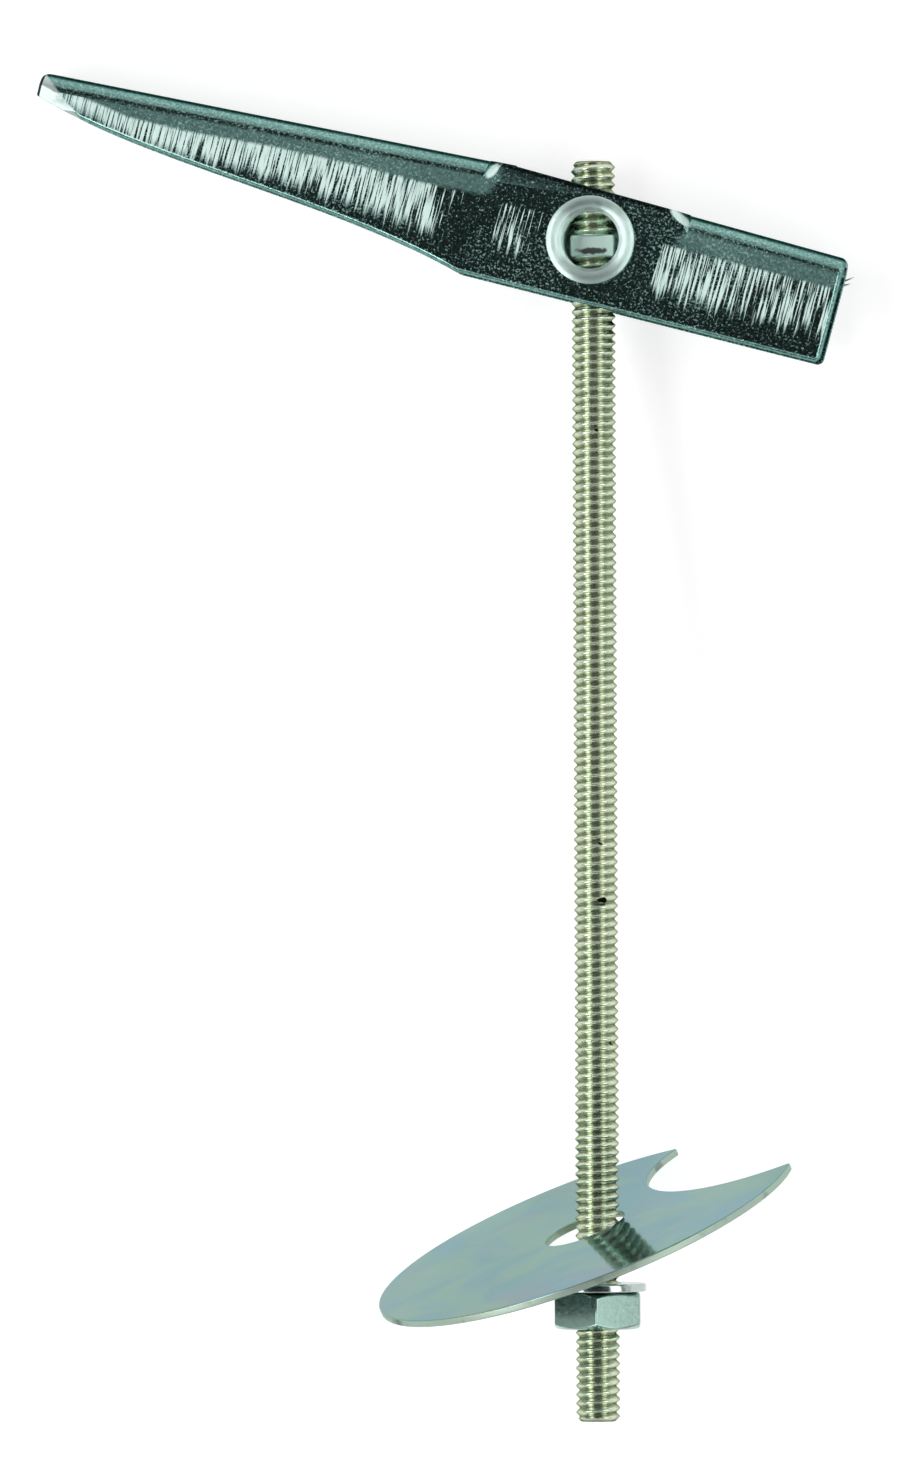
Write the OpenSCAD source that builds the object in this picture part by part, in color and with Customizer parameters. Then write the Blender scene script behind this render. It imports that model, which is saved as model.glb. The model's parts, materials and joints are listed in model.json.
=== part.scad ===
// Gravity toggle bolt, lying as it comes to rest on a floor at z = 0.
// A threaded rod carries a pressed channel wing on a hollow cross trunnion, and,
// towards its free end, a notched cover plate, a washer and a nut.
// The pieces are laid out in the bolt's own frame: the pivot at the origin, the rod
// along Z with its stub upwards, the trunnion along Y and the short arm towards +X.
// lying() then sets the whole bolt down on three points: the trunnion's head,
// the tip of the long arm and the rim of the plate.

/* [Rod] */
// Outside diameter of the thread
rod_d = 6.35; // [5:0.05:8]
// Overall length of the rod
rod_length = 181.8; // [160:0.1:240]
// Length that stands out above the pivot
rod_stub = 11.6; // [8:0.1:14]
// Chamfer at both ends of the rod
rod_chamfer = 0.7; // [0.2:0.05:1.2]
// Height of the stretch that is squashed flat inside the trunnion
stake_h = 3.2; // [2:0.1:4]
// How deep each side of that stretch is squashed
stake_depth = 1; // [0.4:0.1:1.4]

/* [Trunnion] */
// Inside diameter of the hollow trunnion
trunnion_bore = 8.4; // [7.4:0.1:9]
// Wall of the trunnion's tube
trunnion_wall = 0.9; // [0.6:0.05:1.2]
// Diameter of the rolled flange and of the closed head
flange_d = 12.7; // [11.8:0.1:15]
// Thickness of the rolled flange and of the closed head
flange_t = 1.1; // [0.8:0.05:1.6]
// Rise of the dome on the closed head
head_rise = 0.6; // [0.55:0.05:0.8]
// Rise of the crown on the rolled flange
flange_crown = 0.35; // [0.2:0.05:0.5]
// Width of the step inside the crown
flange_step = 0.4; // [0.2:0.05:0.6]

/* [Wing] */
// Pivot to the tip of the long arm
long_arm = 83.4; // [70:0.5:95]
// Pivot to the end of the short arm
short_arm = 36.4; // [28:0.2:45]
// Thickness of the wing's sheet
sheet_t = 1.2; // [0.8:0.05:1.5]
// Outside radius of the two bends
bend_r = 3.6; // [2.5:0.1:4.4]
// Room between the rod and each wall of the channel
rod_side_gap = 0.72; // [0.5:0.02:1.2]
// Pivot to the crown of the back, along the long arm
crown_x = 15.7; // [12:0.1:20]
// Pivot to the crown of the back, upwards
crown_h = 7.6; // [7:0.1:9]
// Fall of the back towards the tip, in degrees
long_fall = 3.4; // [2.5:0.1:3.6]
// Fall of the back towards the short end, in degrees
short_fall = 0.85; // [0:0.05:1.5]
// Pivot to the lower edge of the walls
edge_h = 9.3; // [8:0.1:11]
// Rise of the lower edge at the short end
end_rise = 0.5; // [0:0.05:1]
// Pivot to the shoulder where the lower edge turns up
shoulder_x = 17.7; // [14:0.1:24]
// Height of the lower edge at the tip, above the pivot
tip_edge_h = 0; // [-0.5:0.05:1]
// Corner radius at the tip and at the short end
corner_r = 1; // [0.4:0.1:1.6]
// Length of the coined flat on each side of the tip
coin_length = 4.8; // [3:0.1:8]
// Depth of the coined flat at the end of the tip
coin_depth = 0.8; // [0.3:0.05:1]
// Slot in the back, pivot to its end in the long arm
slot_long = 17; // [14:0.1:20]
// Slot in the back, pivot to its end in the short arm
slot_short = 12.9; // [12.4:0.1:16]
// Room between the rod and each side of the slot
slot_gap = 0.45; // [0.35:0.05:0.8]
// How far the flat cheeks beside the slot stop short of its ends, at the top
cheek_short = 2.3; // [1.5:0.1:4]
// Length over which each cheek slants down into the bend
cheek_run = 3; // [1.5:0.1:4]
// How far the long arm stands above square to the rod, in degrees
wing_tilt = 15.2; // [0:0.1:25]

/* [Cover plate] */
// Diameter of the plate
plate_d = 63.6; // [50:0.2:76]
// Thickness of the plate
plate_t = 1.1; // [0.8:0.05:1.6]
// Diameter of the hole in the plate
plate_hole = 12.1; // [11:0.1:14]
// Radius of the round bite in the rim
bite_r = 20.5; // [12:0.2:22]
// Middle of the plate to the centre of the bite
bite_x = 33.7; // [32:0.1:40]
// Direction of the bite round the plate, in degrees
bite_angle = 174.9; // [160:0.1:200]
// Top of the washer to the middle of the plate, along the rod
plate_lift = 8.3; // [7:0.1:20]
// Lean of the plate from square to the rod, in degrees
plate_lean = 23.5; // [10:0.5:26]
// Direction of that lean round the rod, in degrees
plate_turn = 214.5; // [200:0.1:230]

/* [Washer and nut] */
// Diameter of the washer
washer_d = 14; // [12:0.1:18]
// Thickness of the washer
washer_t = 1.2; // [0.8:0.05:1.8]
// Nut across its flats
nut_flats = 12.3; // [10:0.1:14]
// Height of the nut
nut_h = 5.3; // [4:0.1:6.5]
// Slope of the nut's chamfers, in degrees
nut_chamfer_slope = 30; // [15:1:40]
// Length of thread that stands out below the nut
free_end = 13.32; // [6:0.02:24]
// Direction of one corner of the nut round the rod, in degrees
nut_corner = 33.5; // [0:0.5:60]

/* [Hidden] */
$fn = 96;
zinc = "#b9c4c0";
warm_zinc = "#a8a890";
bright_zinc = "#d5dbd8";

// Clearances, and one overrun for every cut
trunnion_clearance = 0.06;
rod_clearance = 0.05;
flange_play = 0.12;
plate_gap = 0.3;
washer_clearance = 0.35;
nut_clearance = 0.08;
nut_gap = 0.08;
overrun = 20;

// Radius of the arc that rises this far over half its chord
function arc_radius(half_chord, rise) = (pow(half_chord, 2) + pow(rise, 2)) / (2 * rise);

// Rod and trunnion
rod_r = rod_d / 2;
stake_drop = 0.65;
bore_r = trunnion_bore / 2;
tube_r = bore_r + trunnion_wall;
flange_r = flange_d / 2;
flange_slab_t = flange_t - flange_crown;
crown_half = (flange_r - bore_r - flange_step) / 2;
crown_mid_r = flange_r - crown_half;
crown_arc_r = arc_radius(crown_half, flange_crown);
head_arc_r = arc_radius(flange_r, head_rise);

// Wing: the channel holds the rod between its walls when it is folded
wing_w = rod_d + 2 * (rod_side_gap + sheet_t);
wall_y = wing_w / 2;
slot_w = rod_d + 2 * slot_gap;
trunnion_length = wing_w + 2 * (flange_play + flange_t);
long_run = long_arm - crown_x;
short_run = short_arm + crown_x;
wall_depth = 2 * (crown_h + edge_h);
cheek_inset = 0.05;
cheek_t = sheet_t - 2 * cheek_inset;
// Both arms fall alike from the mitre at the crown, which leans to share their falls
mitre = (long_fall + short_fall) / 2;
tip_ridge_h = crown_h - long_run * tan(long_fall);
end_ridge_h = crown_h - short_run * tan(short_fall);
end_edge_h = edge_h - end_rise;
tip_height = tip_ridge_h - tip_edge_h;
// The lower edge of the long arm is one curve, steep at both ends
shoulder_pull_shares = [0.31, 0.6];
tip_pull_shares = [0.25, 0.56];
edge_steps = 24;
corner_steps = 8;

// Plate: its hole hangs on the rod
plate_r = plate_d / 2;
hole_r = plate_hole / 2;
rod_reach = rod_r / cos(plate_lean) + plate_t / 2 * tan(plate_lean);
plate_shift = hole_r - rod_reach - plate_gap;

// Nut, and what lies on it, placed from the free end of the rod
nut_low = rod_length - rod_stub - free_end;
nut_top = nut_low - nut_h;
washer_drop = nut_top - nut_gap - washer_t;
plate_drop = washer_drop - plate_lift;
nut_sides = 6;
nut_corner_r = nut_flats / 2 / cos(180 / nut_sides);
nut_face_share = 0.47;
nut_face_r = nut_flats * nut_face_share;
nut_mouth = rod_chamfer;

// Rest: three points that touch the floor, and the floor's normal through them
function unit(v) = v / norm(v);
function swung(p) = [
    p.x * cos(wing_tilt) + p.z * sin(wing_tilt),
    p.y,
    p.z * cos(wing_tilt) - p.x * sin(wing_tilt)
];
plate_normal = [
    sin(plate_lean) * cos(plate_turn),
    sin(plate_lean) * sin(plate_turn),
    cos(plate_lean)
];
plate_down = [
    cos(plate_lean) * cos(plate_turn),
    cos(plate_lean) * sin(plate_turn),
    -sin(plate_lean)
];
plate_centre = [0, 0, -plate_drop] + plate_shift * plate_down;
tip_low = swung([coin_length - long_arm, wall_y, tip_ridge_h - bend_r + coin_length * tan(long_fall)]);
function head_low(up) = [0, trunnion_length / 2 - head_arc_r, 0] - head_arc_r * up;
function plate_low(up) =
    plate_centre
    + plate_r * unit((up * plate_normal) * plate_normal - up)
    - sign(up * plate_normal) * plate_t / 2 * plate_normal;
function floor_normal(up, tries) =
    tries == 0 ? up
    : floor_normal(unit(cross(tip_low - head_low(up), plate_low(up) - head_low(up))), tries - 1);
floor_up = floor_normal(unit([0, -plate_drop, -plate_r]), 6);
rod_up = [0, 0, 1];
floor_y = unit(rod_up - (rod_up * floor_up) * floor_up);
floor_x = cross(floor_y, floor_up);

// The outer box over the floor, which sets the origin under its middle
tip_corner = swung([-long_arm, 0, tip_edge_h]);
tip_top = swung([-long_arm, 0, tip_ridge_h]);
end_corner = swung([short_arm, 0, end_ridge_h]);
rod_foot = [0, 0, rod_stub - rod_length];
middle_x = (floor_x * tip_corner + floor_x * end_corner) / 2;
middle_y = (floor_y * tip_top + floor_y * rod_foot) / 2;
floor_z = floor_up * tip_low;

// Points of a quarter round about a centre
function round_points(centre, r, from, to) = [
    for (i = [0 : corner_steps])
        let (a = from + (to - from) * i / corner_steps)
        centre + r * [cos(a), sin(a)]
];

// A point along the curved lower edge of the long arm, from the shoulder to the tip
function edge_point(s) =
    let (
        start = [-shoulder_x, -edge_h],
        end = [-long_arm, tip_edge_h],
        run = long_arm - shoulder_x,
        rise = edge_h + tip_edge_h,
        pull_a = start + [-run * shoulder_pull_shares.x, rise * shoulder_pull_shares.y],
        pull_b = end + [run * tip_pull_shares.x, -rise * tip_pull_shares.y]
    )
    pow(1 - s, 3) * start
    + 3 * pow(1 - s, 2) * s * pull_a
    + 3 * (1 - s) * pow(s, 2) * pull_b
    + pow(s, 3) * end;

// Sets the bolt down from its own frame onto the floor
module lying() {
    multmatrix([
        [floor_x.x, floor_x.y, floor_x.z, -middle_x],
        [floor_y.x, floor_y.y, floor_y.z, -middle_y],
        [floor_up.x, floor_up.y, floor_up.z, -floor_z]
    ])
        children();
}

// Turns a shape that runs along Z so that it runs along Y
module along_y() {
    rotate([90, 0, 0])
        children();
}

// A box about the Z axis
module centred_box(width, depth, height) {
    translate([-width / 2, -depth / 2, 0])
        cube([width, depth, height]);
}

// A turned bar from z = 0 upwards, coned at both ends from the face's radius to its own
module coned_bar(r, face_r, length, cone_h) {
    rotate_extrude()
        polygon([
            [0, 0],
            [face_r, 0],
            [r, cone_h],
            [r, length - cone_h],
            [face_r, length],
            [0, length]
        ]);
}

// The rod, squashed flat inside the trunnion so that it can't turn out
module threaded_rod() {
    stake_z = -stake_drop - stake_h / 2;
    color(warm_zinc)
        lying() {
            difference() {
                translate(rod_foot)
                    coned_bar(rod_r, rod_r - rod_chamfer, rod_length, rod_chamfer);
                for (side = [-1, 1])
                    translate([0, side * (rod_d - stake_depth), stake_z])
                        centred_box(rod_d, rod_d, stake_h);
            }
            translate([0, 0, stake_z])
                centred_box(rod_d, rod_d - 2 * stake_depth, stake_h);
        }
}

// Half section of one rolled flange, from its inner face at y = 0 to its crowned outer face
module flange_section() {
    flange_w = flange_r - bore_r;
    translate([bore_r, 0])
        square([flange_w, flange_slab_t]);
    intersection() {
        translate([crown_mid_r, flange_t - crown_arc_r])
            circle(r = crown_arc_r);
        translate([bore_r, 0])
            square([flange_w, flange_t]);
    }
}

// Half section of the closed head, from its inner face at y = 0 to its domed outer face
module head_section() {
    intersection() {
        translate([0, flange_t - head_arc_r])
            circle(r = head_arc_r);
        square([flange_r, flange_t]);
    }
}

// Half section of the trunnion: a tube with a closed head and a rolled flange
module trunnion_section() {
    flange_y = trunnion_length / 2 - flange_t;
    translate([bore_r, -flange_y])
        square([trunnion_wall, 2 * flange_y]);
    translate([0, flange_y])
        flange_section();
    mirror([0, 1])
        translate([0, flange_y])
            head_section();
}

// The hollow rivet that the wing swings on, cross drilled for the rod
module trunnion() {
    color(bright_zinc)
        lying()
            difference() {
                along_y()
                    rotate_extrude()
                        trunnion_section();
                translate([0, 0, -tube_r])
                    cylinder(r = rod_r + rod_clearance, h = 2 * tube_r);
            }
}

// Solid outline of the channel across the wing, its back at the top on y = 0
module channel_outline(width, r) {
    translate([-width / 2, -wall_depth])
        square([width, wall_depth - r]);
    translate([r - width / 2, -r])
        square([width - 2 * r, r]);
    for (side = [-1, 1])
        translate([side * (width / 2 - r), -r])
            circle(r = r);
}

// A straight stretch of channel along +X, its back on z = 0
module channel(length) {
    rotate([90, 0, 90])
        linear_extrude(length)
            difference() {
                channel_outline(wing_w, bend_r);
                translate([0, -sheet_t])
                    channel_outline(wing_w - 2 * sheet_t, bend_r - sheet_t);
            }
}

// One arm of the channel, falling from the mitre at x = 0 towards +X
module arm(length) {
    intersection() {
        rotate([0, mitre, 0])
            translate([-overrun, 0, 0])
                channel(length + 2 * overrun);
        translate([0, -wing_w, -2 * wall_depth])
            cube([length + 2 * overrun, 2 * wing_w, 2 * wall_depth + overrun]);
    }
}

// Side view of the wing: square ends, a straight lower edge and the curved one
module wing_side() {
    tip_round = round_points([corner_r - long_arm, tip_ridge_h - corner_r], corner_r, 180, 90 + long_fall);
    end_round = round_points([short_arm - corner_r, corner_r - end_edge_h], corner_r, 0, -90);
    lower_edge = [for (i = [0 : edge_steps]) edge_point(i / edge_steps)];
    polygon(concat(
        tip_round,
        [[-crown_x, crown_h + overrun], [short_arm, crown_h + overrun]],
        end_round,
        lower_edge
    ));
}

// Cutter for the flat that coining leaves on one side of the tip, from the top
// corner at the end down to the lower edge
module coin_cut() {
    slant = atan(tip_height / coin_length);
    reach = coin_length * sin(slant);
    translate([-long_arm, -wall_y, tip_ridge_h])
        rotate([0, slant, 0])
            rotate([atan(coin_depth / reach), 0, 0])
                translate([-overrun, -overrun, -overrun])
                    cube([2 * overrun, overrun, overrun]);
}

// The slot in the back that lets the rod through as the wing swings
module slot_cut() {
    round_r = slot_w / 2;
    linear_extrude(crown_h + overrun) {
        translate([-slot_long + round_r, -round_r])
            square([slot_long + slot_short - slot_w, slot_w]);
        for (x = [round_r - slot_long, slot_short - round_r])
            translate([x, 0])
                circle(r = round_r);
    }
}

// The flat cheeks beside the slot, where no back pulls the walls over into a bend
module cheeks() {
    long_x = cheek_short - slot_long;
    short_x = slot_short - cheek_short;
    for (side = [-1, 1])
        translate([0, (cheek_t + side * (wing_w - sheet_t)) / 2, crown_h])
            along_y()
                linear_extrude(cheek_t)
                    polygon([
                        [long_x - cheek_run, -bend_r],
                        [short_x + cheek_run, -bend_r],
                        [short_x, -(crown_x + short_x) * tan(short_fall)],
                        [long_x, -(crown_x + long_x) * tan(short_fall)]
                    ]);
}

// The wing: one piece of sheet folded into a channel with a long and a short arm
module toggle_wing() {
    color(zinc)
        lying()
            rotate([0, wing_tilt, 0])
                difference() {
                    union() {
                        intersection() {
                            translate([-crown_x, 0, crown_h])
                                rotate([0, short_fall - mitre, 0]) {
                                    arm(short_run);
                                    rotate([0, 0, 180])
                                        arm(long_run);
                                }
                            translate([0, wall_y + overrun, 0])
                                along_y()
                                    linear_extrude(wing_w + 2 * overrun)
                                        wing_side();
                        }
                        cheeks();
                    }
                    slot_cut();
                    translate([0, wall_y + overrun, 0])
                        along_y()
                            cylinder(r = tube_r + trunnion_clearance, h = wing_w + 2 * overrun);
                    coin_cut();
                    mirror([0, 1, 0])
                        coin_cut();
                }
}

// The cover plate, a thin disc with a wide hole and a round bite out of its rim
module cover_plate() {
    color(bright_zinc)
        lying()
            translate(plate_centre)
                rotate([0, 0, plate_turn])
                    rotate([0, plate_lean, 0])
                        translate([0, 0, -plate_t / 2])
                            difference() {
                                cylinder(r = plate_r, h = plate_t);
                                translate([0, 0, -overrun])
                                    cylinder(r = hole_r, h = 2 * overrun);
                                rotate([0, 0, bite_angle])
                                    translate([bite_x, 0, -overrun])
                                        cylinder(r = bite_r, h = 2 * overrun);
                            }
}

// The small washer under the plate
module flat_washer() {
    color(bright_zinc)
        lying()
            translate([0, 0, -washer_drop - washer_t])
                difference() {
                    cylinder(d = washer_d, h = washer_t);
                    translate([0, 0, -overrun])
                        cylinder(r = rod_r + washer_clearance, h = 2 * overrun);
                }
}

// The nut, chamfered on both faces
module hex_nut() {
    nut_bore_r = rod_r + nut_clearance;
    outer_r = nut_corner_r + nut_mouth;
    slope_h = (outer_r - nut_face_r) * tan(nut_chamfer_slope);
    color(zinc)
        lying()
            translate([0, 0, -nut_low])
                rotate([0, 0, nut_corner])
                    difference() {
                        intersection() {
                            cylinder(r = nut_corner_r, h = nut_h, $fn = nut_sides);
                            coned_bar(outer_r, nut_face_r, nut_h, slope_h);
                        }
                        translate([0, 0, -overrun])
                            cylinder(r = nut_bore_r, h = 2 * overrun);
                        cylinder(r1 = nut_bore_r + nut_mouth, r2 = nut_bore_r, h = nut_mouth);
                        translate([0, 0, nut_h - nut_mouth])
                            cylinder(r1 = nut_bore_r, r2 = nut_bore_r + nut_mouth, h = nut_mouth);
                    }
}

threaded_rod();
trunnion();
toggle_wing();
cover_plate();
flat_washer();
hex_nut();
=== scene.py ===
"""Dresses a gravity toggle bolt: rolled thread, pressed wing, hollow rivet, cover plate, washer and nut."""

from __future__ import annotations

import json
import logging
import math
from collections.abc import Callable
from dataclasses import dataclass
from enum import Enum
from typing import Any

import bmesh
import bpy
from bmesh.types import BMEdge, BMesh, BMVert
from mathutils import Matrix, Vector


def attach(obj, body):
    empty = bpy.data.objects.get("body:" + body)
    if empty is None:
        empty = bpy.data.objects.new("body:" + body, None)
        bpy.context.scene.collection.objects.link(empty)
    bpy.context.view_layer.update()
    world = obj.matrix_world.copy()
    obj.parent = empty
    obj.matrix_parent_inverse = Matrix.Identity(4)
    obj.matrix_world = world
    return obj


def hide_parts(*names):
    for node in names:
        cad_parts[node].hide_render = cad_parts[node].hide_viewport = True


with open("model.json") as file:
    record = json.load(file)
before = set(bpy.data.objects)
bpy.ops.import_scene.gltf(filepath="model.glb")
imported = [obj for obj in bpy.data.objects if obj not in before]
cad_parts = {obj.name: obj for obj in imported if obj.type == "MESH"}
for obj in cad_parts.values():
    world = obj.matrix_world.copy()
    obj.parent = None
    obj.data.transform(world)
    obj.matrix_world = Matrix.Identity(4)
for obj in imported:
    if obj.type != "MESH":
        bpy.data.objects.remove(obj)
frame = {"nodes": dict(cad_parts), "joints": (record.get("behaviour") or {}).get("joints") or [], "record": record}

LOG = logging.getLogger("toggle_bolt")
MM = 0.001
# Corners of a CAD node's triangles that are nearer than this many metres are one corner.
WELD = 0.000002
# Faces that meet at less than this angle are one flat face.
FLAT_DEG = 0.3
# Nearly all of a noise texture's values lie between these two.
NOISE_LOW, NOISE_HIGH = 0.3, 0.7
# The photograph's height in pixels.
PHOTO_TALL = 1465

Socket = bpy.types.NodeSocket
Tree = bpy.types.ShaderNodeTree
Points = tuple[tuple[float, float], ...]


class Body(Enum):
    """The bodies that the pieces ride on."""

    ROD = "rod"
    WING = "wing"
    WASHER = "washer"
    NUT = "nut"
    PLATE = "plate"


class Slot(Enum):
    """The record's material slots."""

    ROD = "rod_zinc"
    RIVET = "rivet_zinc"
    WING = "wing_zinc"
    PLATE = "plate_zinc"
    WASHER = "washer_zinc"
    NUT = "nut_zinc"


def linear(hex_value: str) -> tuple[float, float, float, float]:
    """Turns an sRGB hex colour to linear light.

    Args:
        hex_value: six hex digits after a hash.

    Returns:
        Linear red, green, blue and a full alpha.
    """
    parts = [int(hex_value[i : i + 2], 16) / 255 for i in (1, 3, 5)]
    curve = [p / 12.92 if p <= 0.04045 else ((p + 0.055) / 1.055) ** 2.4 for p in parts]
    return (*curve, 1.0)


def add_node(
    tree: Tree, kind: str, inputs: dict[str | int, Any] | None = None, **settings: Any
) -> bpy.types.Node:
    """Adds a node with its settings, and fills or links its inputs.

    Args:
        tree: the node tree that gets the node.
        kind: the node's type name, without its ShaderNode prefix.
        inputs: input name or number to a value or to the socket that feeds it.
        settings: properties of the node itself.

    Returns:
        The new node.
    """
    node = tree.nodes.new("ShaderNode" + kind)
    for name, value in settings.items():
        setattr(node, name, value)
    for key, value in (inputs or {}).items():
        if isinstance(value, Socket):
            tree.links.new(value, node.inputs[key])
        else:
            node.inputs[key].default_value = value
    return node


def joint(name: str) -> dict[str, Any]:
    """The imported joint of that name."""
    return next(j for j in frame["joints"] if j["name"] == name)


def mount(name: str) -> dict[str, Any]:
    """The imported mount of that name."""
    return next(m for m in frame["record"]["mounts"] if m["name"] == name)


@dataclass(frozen=True)
class Axes:
    """A piece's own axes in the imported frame, for shapes and patterns written in millimetres."""

    origin: Vector
    x: Vector
    y: Vector
    z: Vector

    @classmethod
    def of_bolt(cls) -> Axes:
        """Finds the bolt's axes from its joints.

        Returns:
            Z up the rod to its stub, Y along the rivet and X along the short arm.
        """
        y = Vector(joint("wing_swing")["axis"]).normalized()
        z = Vector(joint("nut_travel")["axis"]).normalized()
        return cls(Vector(joint("wing_swing")["pos_m"]), y.cross(z).normalized(), y, z)

    @classmethod
    def of_wing(cls) -> Axes:
        """Finds the wing's axes from its joint and its lower edges.

        Returns:
            X along its short arm, Y along the rivet and Z out of its back.
        """
        y = Vector(joint("wing_swing")["axis"]).normalized()
        z = -Vector(mount("wing_edges")["axis"]).normalized()
        return cls(Vector(joint("wing_swing")["pos_m"]), y.cross(z).normalized(), y, z)

    @classmethod
    def of_plate(cls) -> Axes:
        """Finds the plate's axes from its face and the rod.

        Returns:
            Z out of its upper face and X down its lean.
        """
        z = Vector(mount("plate_face")["axis"]).normalized()
        up = Vector(joint("nut_travel")["axis"]).normalized()
        x = (z * up.dot(z) - up).normalized()
        return cls(Vector(mount("plate_face")["pos_m"]), x, z.cross(x).normalized(), z)

    def turn(self) -> Matrix:
        """The turn from the piece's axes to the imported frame's."""
        return Matrix((self.x, self.y, self.z)).transposed()

    def to_frame(self) -> Matrix:
        """Takes the piece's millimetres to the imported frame's metres."""
        return Matrix.Translation(self.origin) @ self.turn().to_4x4() @ Matrix.Scale(MM, 4)

    def place(self, x: float, y: float, z: float) -> Vector:
        """A point of the piece, given in its millimetres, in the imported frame."""
        return self.to_frame() @ Vector((x, y, z))

    def pattern_space(self, tree: Tree) -> Socket:
        """Adds nodes that give a surface point in the piece's own millimetres.

        Args:
            tree: the material's node tree.

        Returns:
            The socket of that vector.
        """
        back = self.turn().transposed()
        coords = add_node(tree, "TexCoord")
        mapping = add_node(
            tree,
            "Mapping",
            {
                "Vector": coords.outputs["Object"],
                "Location": -(back @ self.origin) / MM,
                "Rotation": back.to_euler("XYZ"),
                "Scale": (1 / MM, 1 / MM, 1 / MM),
            },
        )
        return mapping.outputs["Vector"]


@dataclass(frozen=True)
class Coat:
    """A finish under way: its nodes, its metal shader and the surface point in the piece's millimetres."""

    tree: Tree
    shader: bpy.types.Node
    space: Socket

    def tint(self, share: Socket, tone: str) -> None:
        """Lays a tone over the colour so far.

        Args:
            share: how much of the tone shows, from 0 to 1.
            tone: the tone as sRGB hex.
        """
        under = self.shader.inputs["Base Color"].links[0].from_socket
        laid = add_node(self.tree, "Mix", {0: share, 6: under, 7: linear(tone)}, data_type="RGBA")
        self.tree.links.new(laid.outputs[2], self.shader.inputs["Base Color"])

    def dull(self, share: Socket, roughness: float) -> None:
        """Roughens the surface where a mask says so.

        Args:
            share: how much is roughened, from 0 to 1.
            roughness: the roughness where the mask is full.
        """
        under = self.shader.inputs["Roughness"].links[0].from_socket
        laid = add_node(self.tree, "Mix", {0: share, 2: under, 3: roughness})
        self.tree.links.new(laid.outputs[0], self.shader.inputs["Roughness"])


@dataclass(frozen=True)
class Finish:
    """Electroplated zinc on steel: a bright metal with a fine grain in its colour, gloss and relief."""

    name: str
    axes: Axes
    tone: str
    dark_tone: str
    roughness: float = 0.25
    gloss_spread: float = 0.2
    # Zinc crystals are some hundredths of a millimetre wide, too fine to show, so the grain is drawn coarser.
    grain_mm: float = 0.5
    grain_depth_mm: float = 0.006

    def material(self) -> bpy.types.Material:
        """Makes the finish.

        Returns:
            The material.
        """
        material = bpy.data.materials.new(self.name)
        material.use_nodes = True
        tree = material.node_tree
        shader = tree.nodes["Principled BSDF"]
        shader.inputs["Metallic"].default_value = 1.0
        space = self.axes.pattern_space(tree)
        noise = add_node(
            tree,
            "TexNoise",
            {"Vector": space, "Scale": 1 / self.grain_mm, "Detail": 3.0, "Roughness": 0.6},
        )
        grain = add_node(
            tree, "MapRange", {"Value": noise.outputs[0], "From Min": NOISE_LOW, "From Max": NOISE_HIGH}
        )
        tone = add_node(
            tree,
            "Mix",
            {0: grain.outputs[0], 6: linear(self.dark_tone), 7: linear(self.tone)},
            data_type="RGBA",
        )
        gloss = add_node(
            tree,
            "MapRange",
            {
                "Value": grain.outputs[0],
                "To Min": self.roughness * (1 - self.gloss_spread),
                "To Max": self.roughness * (1 + self.gloss_spread),
            },
        )
        bump = add_node(
            tree,
            "Bump",
            {"Height": noise.outputs[0], "Distance": self.grain_depth_mm * MM, "Strength": 1.0},
        )
        tree.links.new(tone.outputs[2], shader.inputs["Base Color"])
        tree.links.new(gloss.outputs[0], shader.inputs["Roughness"])
        tree.links.new(bump.outputs[0], shader.inputs["Normal"])
        self.mark(Coat(tree, shader, space))
        return material

    def mark(self, coat: Coat) -> None:
        """Adds what sets this finish apart; the plain one has nothing to add.

        Args:
            coat: the finish under way.
        """


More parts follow.
